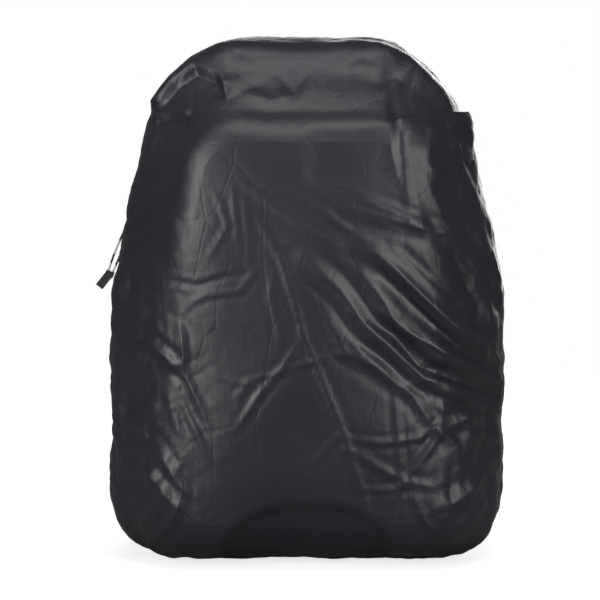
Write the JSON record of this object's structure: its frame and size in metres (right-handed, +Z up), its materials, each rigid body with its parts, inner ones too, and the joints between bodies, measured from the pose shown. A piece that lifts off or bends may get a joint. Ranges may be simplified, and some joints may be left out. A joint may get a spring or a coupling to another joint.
{
  "type": "motorcycle tail bag with rain cover",
  "caption": "Soft tail bag standing upright under a stretched rain cover, with a moulded base tray, seat pads, mounting straps, zips and a swinging carry handle.",
  "frame": {"origin": "on the floor under the middle of the standing bag", "axes": "+Z up, +Y towards the base that lies on the seat, +X to the right when facing the covered front"},
  "size_m": [0.4012, 0.246, 0.4934],
  "materials": {
    "body_cloth": "coarse woven polyester",
    "lining_cloth": "thin woven lining",
    "cover_cloth": "coated nylon, semi-gloss",
    "elastic": "woven over rubber",
    "webbing": "flat woven",
    "tray_shell": "moulded, fine grain",
    "pad_foam": "soft non-slip",
    "zip_tape": "woven tape",
    "zip_coil": "nylon coil",
    "slider_metal": "black, gloss",
    "pull_cord": "braided, with two light reflective sections",
    "pull_rubber": "moulded",
    "buckle_plastic": "satin",
    "ring_steel": "black",
    "handle_rubber": "moulded"
  },
  "bodies": {
    "bag": {"bottom_panel": "body_cloth", "top_panel": "body_cloth", "side_panel_left": "body_cloth", "side_panel_right": "body_cloth", "lid_gusset": "body_cloth", "lid_panel": "body_cloth", "pocket_gusset": "body_cloth", "pocket_panel": "body_cloth", "lining": "lining_cloth", "lid_piping": "pull_rubber", "pocket_piping": "pull_rubber", "expansion_zip_tape": "zip_tape", "expansion_zip_coil": "zip_coil", "expansion_pleat": "lining_cloth", "main_zip_tape": "zip_tape", "main_zip_coil": "zip_coil", "pocket_zip_tape": "zip_tape", "pocket_zip_coil": "zip_coil", "base_tray": "tray_shell", "lower_pad": "pad_foam", "middle_pad": "pad_foam", "upper_pad": "pad_foam", "handle_bracket_left": "buckle_plastic", "handle_bracket_right": "buckle_plastic", "lower_strap_fixed": "webbing", "lower_strap_adjust": "webbing", "lower_buckle_socket": "buckle_plastic", "lower_buckle_plug": "buckle_plastic", "lower_keeper": "elastic", "lower_left_tab": "webbing", "lower_left_ring": "ring_steel", "lower_right_tab": "webbing", "lower_right_ring": "ring_steel", "upper_strap_fixed": "webbing", "upper_strap_adjust": "webbing", "upper_buckle_socket": "buckle_plastic", "upper_buckle_plug": "buckle_plastic", "upper_keeper": "elastic", "upper_left_tab": "webbing", "upper_left_ring": "ring_steel", "upper_right_tab": "webbing", "upper_right_ring": "ring_steel"},
    "cover": {"rain_cover": "cover_cloth", "hem_elastic": "elastic"},
    "expansion_slider": {"expansion_slider": "slider_metal"},
    "expansion_pull": {"expansion_pull_tab": "slider_metal", "expansion_pull_cord": "pull_cord", "expansion_pull_grip": "pull_rubber"},
    "main_slider_left": {"main_left_slider": "slider_metal", "main_left_pull": "pull_rubber"},
    "main_slider_right": {"main_right_slider": "slider_metal", "main_right_pull": "pull_rubber"},
    "pocket_slider": {"pocket_slider": "slider_metal", "pocket_pull": "pull_rubber"},
    "handle": {"handle_strap": "webbing", "handle_grip": "handle_rubber"},
    "lower_arm_a": {"lower_latch_a": "buckle_plastic"},
    "lower_arm_b": {"lower_latch_b": "buckle_plastic"},
    "upper_arm_a": {"upper_latch_a": "buckle_plastic"},
    "upper_arm_b": {"upper_latch_b": "buckle_plastic"}
  },
  "joints": [
    {"name": "cover_off", "type": "slide", "parent": "bag", "child": "cover", "axis": [0, -1, 0], "range_m": [0, 0.22]},
    {"name": "expansion_zip", "type": "slide", "parent": "bag", "child": "expansion_slider", "axis": [0.2312, 0, 0.9729], "range_m": [-0.01, 0.085]},
    {"name": "expansion_pull_swing", "type": "hinge", "parent": "expansion_slider", "child": "expansion_pull", "pos_m": [-0.17371, 0.0825, 0.32727], "axis": [0, 1, 0], "range_deg": [-5, 100]},
    {"name": "main_zip_left", "type": "slide", "parent": "bag", "child": "main_slider_left", "axis": [-1, 0, 0], "range_m": [-0.008, 0.03]},
    {"name": "main_zip_right", "type": "slide", "parent": "bag", "child": "main_slider_right", "axis": [1, 0, 0], "range_m": [-0.008, 0.03]},
    {"name": "pocket_zip", "type": "slide", "parent": "bag", "child": "pocket_slider", "axis": [0.1696, 0, 0.9855], "range_m": [-0.012, 0.09]},
    {"name": "handle_swing", "type": "hinge", "parent": "bag", "child": "handle", "pos_m": [0, 0.1195, 0.466], "axis": [1, 0, 0], "range_deg": [0, 170]},
    {"name": "lower_arm_a_squeeze", "type": "hinge", "parent": "bag", "child": "lower_arm_a", "pos_m": [0.0004, 0.1173, 0.1365], "axis": [0, 1, 0], "range_deg": [0, 6], "stiffness_Nm_per_rad": 0.5},
    {"name": "lower_arm_b_squeeze", "type": "hinge", "parent": "bag", "child": "lower_arm_b", "pos_m": [0.0004, 0.1173, 0.1555], "axis": [0, -1, 0], "range_deg": [0, 6], "stiffness_Nm_per_rad": 0.5},
    {"name": "upper_arm_a_squeeze", "type": "hinge", "parent": "bag", "child": "upper_arm_a", "pos_m": [0.0004, 0.1173, 0.3085], "axis": [0, 1, 0], "range_deg": [0, 6], "stiffness_Nm_per_rad": 0.5},
    {"name": "upper_arm_b_squeeze", "type": "hinge", "parent": "bag", "child": "upper_arm_b", "pos_m": [0.0004, 0.1173, 0.3275], "axis": [0, -1, 0], "range_deg": [0, 6], "stiffness_Nm_per_rad": 0.5}
  ],
  "couplings": [
    {"joint": "lower_arm_b_squeeze", "follows": "lower_arm_a_squeeze", "ratio": 1},
    {"joint": "upper_arm_b_squeeze", "follows": "upper_arm_a_squeeze", "ratio": 1}
  ]
}
